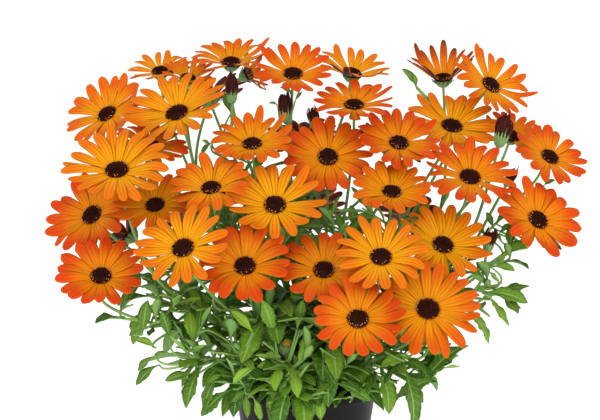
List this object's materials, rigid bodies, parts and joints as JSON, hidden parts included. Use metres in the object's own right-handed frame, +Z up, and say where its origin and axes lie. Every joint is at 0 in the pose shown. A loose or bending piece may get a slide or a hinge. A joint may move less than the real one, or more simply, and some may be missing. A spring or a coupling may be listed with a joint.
{
  "type": "potted osteospermum",
  "caption": "Bushy osteospermum in full flower: orange daisy heads with dark discs over toothed green foliage, standing in a round charcoal nursery pot.",
  "frame": {"origin": "middle of the pot's base, on the surface it stands on", "axes": "+Z up, -Y towards the viewer, who sees the fullest side, +X to the viewer's right along the plant's widest extent"},
  "size_m": [0.3794, 0.2933, 0.326],
  "materials": {
    "charcoal_plastic": "satin",
    "potting_soil": "matte",
    "leaf_green": "satin",
    "ray_orange": "satin",
    "bud_plum": "matte"
  },
  "bodies": {
    "root": {"pot": "charcoal_plastic", "potting_soil": "potting_soil", "leafy_stem_01": "leaf_green", "leafy_stem_02": "leaf_green", "leafy_stem_03": "leaf_green", "leafy_stem_04": "leaf_green", "leafy_stem_05": "leaf_green", "leafy_stem_06": "leaf_green", "leafy_stem_07": "leaf_green", "leafy_stem_08": "leaf_green", "leafy_stem_09": "leaf_green", "leafy_stem_10": "leaf_green", "bloom_01": "ray_orange", "bloom_02": "ray_orange", "bloom_03": "ray_orange", "bloom_04": "ray_orange", "bloom_05": "ray_orange", "bloom_06": "ray_orange", "bloom_07": "ray_orange", "bloom_08": "ray_orange", "bloom_09": "ray_orange", "bloom_10": "ray_orange", "bloom_11": "ray_orange", "bloom_12": "ray_orange", "bloom_13": "ray_orange", "bloom_14": "ray_orange", "bloom_15": "ray_orange", "bloom_16": "ray_orange", "bloom_17": "ray_orange", "bloom_18": "ray_orange", "bloom_19": "ray_orange", "bloom_20": "ray_orange", "bloom_21": "ray_orange", "bloom_22": "ray_orange", "bloom_23": "ray_orange", "bloom_24": "ray_orange", "bloom_25": "ray_orange", "bloom_26": "ray_orange", "bloom_27": "ray_orange", "bloom_28": "ray_orange", "bloom_29": "ray_orange", "bloom_30": "ray_orange", "bloom_31": "ray_orange", "bloom_32": "ray_orange", "bloom_33": "ray_orange", "bloom_34": "ray_orange", "bloom_35": "ray_orange", "bloom_36": "ray_orange", "bloom_37": "ray_orange", "bloom_38": "ray_orange", "bloom_39": "ray_orange", "bloom_40": "ray_orange", "bloom_41": "ray_orange", "bloom_42": "ray_orange", "dark_bud_1": "bud_plum", "dark_bud_2": "bud_plum", "dark_bud_3": "bud_plum", "dark_bud_4": "bud_plum", "dark_bud_5": "bud_plum", "dark_bud_6": "bud_plum"}
  },
  "joints": []
}
